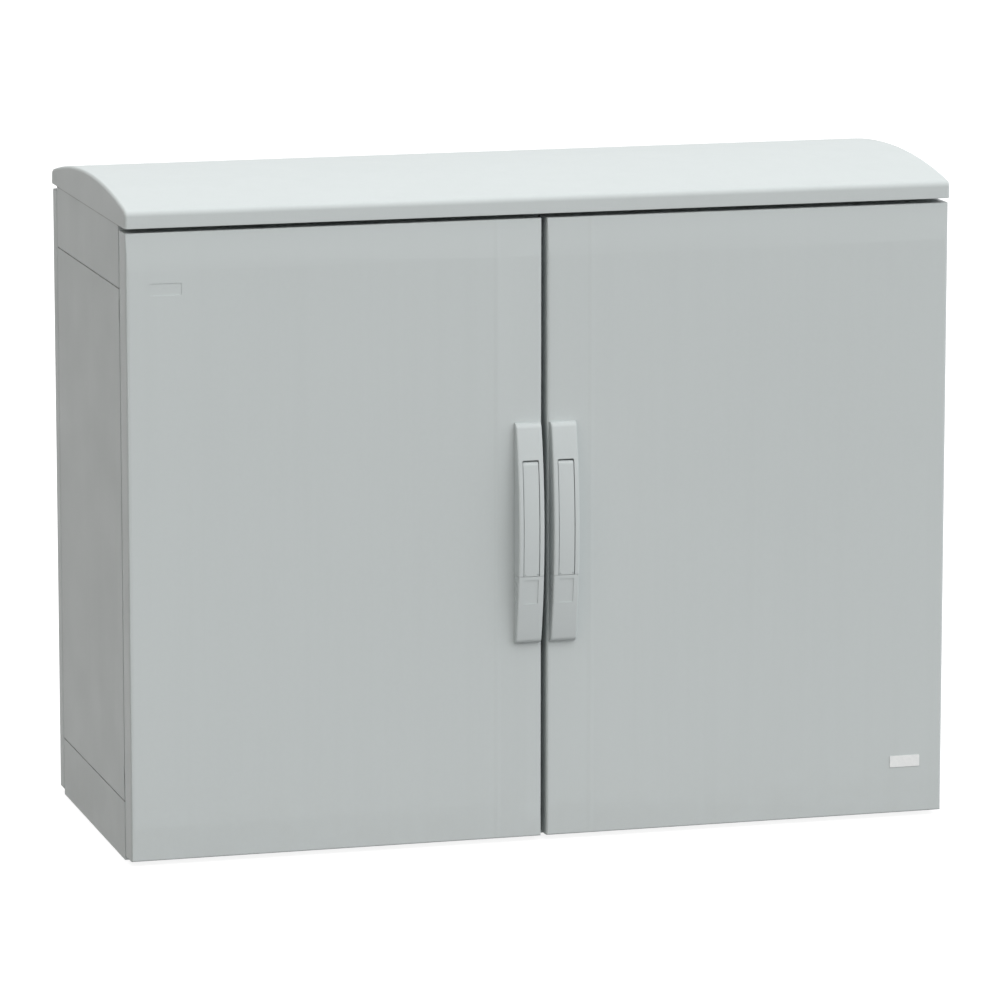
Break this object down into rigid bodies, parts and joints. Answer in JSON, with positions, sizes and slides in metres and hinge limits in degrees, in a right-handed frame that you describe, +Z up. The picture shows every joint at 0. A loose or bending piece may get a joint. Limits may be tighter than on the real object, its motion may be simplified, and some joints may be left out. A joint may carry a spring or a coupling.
{
  "type": "two-door outdoor cabinet",
  "caption": "Grey floor-standing outdoor electrical cabinet with double doors, an arched rain canopy and a pair of bowed swing handles.",
  "frame": {"origin": "on the floor, under the centre of the outline seen from above, handles and canopy included", "axes": "+X to the right seen from the front, +Y from the doors to the back, +Z up"},
  "size_m": [1.0034, 0.4411, 0.7931],
  "materials": {
    "grp_outer": "light grey moulded polyester, satin",
    "grp_inner": "light grey moulded polyester, matt",
    "zinc_steel": "zinc plated",
    "stainless": "satin",
    "seal": "matt black",
    "nylon": "black moulded",
    "blank_plate": "pale, blank"
  },
  "bodies": {
    "cabinet": {"base_frame": "grp_outer", "top_frame": "grp_outer", "side_panel_left": "grp_outer", "side_panel_right": "grp_outer", "back_cover": "grp_outer", "front_frame": "grp_inner", "centre_seal": "seal", "canopy": "grp_outer", "canopy_bolt_1": "zinc_steel", "canopy_bolt_2": "zinc_steel", "canopy_bolt_3": "zinc_steel", "canopy_bolt_4": "zinc_steel", "mounting_rail_left": "zinc_steel", "mounting_rail_right": "zinc_steel", "mounting_plate": "zinc_steel", "plate_bolt_left_upper": "zinc_steel", "plate_bolt_left_lower": "zinc_steel", "plate_bolt_right_upper": "zinc_steel", "plate_bolt_right_lower": "zinc_steel", "left_hinge_arm_upper": "stainless", "left_rod_keeper_upper": "zinc_steel", "left_hinge_arm_lower": "stainless", "left_rod_keeper_lower": "zinc_steel", "right_hinge_arm_upper": "stainless", "right_rod_keeper_upper": "zinc_steel", "right_hinge_arm_lower": "stainless", "right_rod_keeper_lower": "zinc_steel"},
    "left_door": {"left_door_shell": "grp_outer", "left_door_gasket": "seal", "left_hinge_leaf_upper": "stainless", "left_hinge_leaf_lower": "stainless", "left_hinge_pin_upper": "zinc_steel", "left_hinge_pin_lower": "zinc_steel", "left_handle_housing": "grp_outer", "left_lever_pin": "zinc_steel", "left_gear_case": "nylon", "left_rod_guide_upper": "nylon", "left_rod_guide_lower": "nylon"},
    "left_lever": {"left_handle_lever": "grp_outer"},
    "left_cap": {"left_lock_cap": "grp_outer"},
    "left_spindle": {"left_lock_spindle": "zinc_steel"},
    "left_rod_upper": {"left_lock_rod_upper": "zinc_steel"},
    "left_rod_lower": {"left_lock_rod_lower": "zinc_steel"},
    "right_door": {"right_door_shell": "grp_outer", "right_door_gasket": "seal", "right_hinge_leaf_upper": "stainless", "right_hinge_leaf_lower": "stainless", "right_hinge_pin_upper": "zinc_steel", "right_hinge_pin_lower": "zinc_steel", "right_handle_housing": "grp_outer", "right_lever_pin": "zinc_steel", "right_gear_case": "nylon", "right_rod_guide_upper": "nylon", "right_rod_guide_lower": "nylon", "label_plate": "blank_plate"},
    "right_lever": {"right_handle_lever": "grp_outer"},
    "right_cap": {"right_lock_cap": "grp_outer"},
    "right_spindle": {"right_lock_spindle": "zinc_steel"},
    "right_rod_upper": {"right_lock_rod_upper": "zinc_steel"},
    "right_rod_lower": {"right_lock_rod_lower": "zinc_steel"}
  },
  "joints": [
    {"name": "left_door_hinge", "type": "hinge", "parent": "cabinet", "child": "left_door", "pos_m": [-0.4912, -0.18205, 0.37685], "axis": [0, 0, -1], "range_deg": [0, 110]},
    {"name": "left_lever_pivot", "type": "hinge", "parent": "left_door", "child": "left_lever", "pos_m": [-0.0209, -0.2103, 0.4572], "axis": [-1, 0, 0], "range_deg": [0, 65]},
    {"name": "left_cap_slide", "type": "slide", "parent": "left_door", "child": "left_cap", "axis": [0, 0, -1], "range_m": [0, 0.025]},
    {"name": "left_spindle_turn", "type": "hinge", "parent": "left_door", "child": "left_spindle", "pos_m": [-0.0209, -0.19805, 0.311], "axis": [0, -1, 0], "range_deg": [0, 90]},
    {"name": "left_rod_upper_slide", "type": "slide", "parent": "left_door", "child": "left_rod_upper", "axis": [0, 0, 1], "range_m": [0, 0.00942]},
    {"name": "left_rod_lower_slide", "type": "slide", "parent": "left_door", "child": "left_rod_lower", "axis": [0, 0, -1], "range_m": [0, 0.00942]},
    {"name": "right_door_hinge", "type": "hinge", "parent": "cabinet", "child": "right_door", "pos_m": [0.4912, -0.18205, 0.37685], "axis": [0, 0, 1], "range_deg": [0, 110]},
    {"name": "right_lever_pivot", "type": "hinge", "parent": "right_door", "child": "right_lever", "pos_m": [0.0221, -0.2103, 0.4572], "axis": [-1, 0, 0], "range_deg": [0, 65]},
    {"name": "right_cap_slide", "type": "slide", "parent": "right_door", "child": "right_cap", "axis": [0, 0, -1], "range_m": [0, 0.025]},
    {"name": "right_spindle_turn", "type": "hinge", "parent": "right_door", "child": "right_spindle", "pos_m": [0.0221, -0.19805, 0.311], "axis": [0, 1, 0], "range_deg": [0, 90]},
    {"name": "right_rod_upper_slide", "type": "slide", "parent": "right_door", "child": "right_rod_upper", "axis": [0, 0, 1], "range_m": [0, 0.00942]},
    {"name": "right_rod_lower_slide", "type": "slide", "parent": "right_door", "child": "right_rod_lower", "axis": [0, 0, -1], "range_m": [0, 0.00942]}
  ],
  "couplings": [
    {"joint": "left_spindle_turn", "follows": "left_rod_upper_slide", "rad_per_m": 166.67},
    {"joint": "left_rod_lower_slide", "follows": "left_rod_upper_slide", "ratio": 1},
    {"joint": "right_spindle_turn", "follows": "right_rod_upper_slide", "rad_per_m": 166.67},
    {"joint": "right_rod_lower_slide", "follows": "right_rod_upper_slide", "ratio": 1}
  ]
}
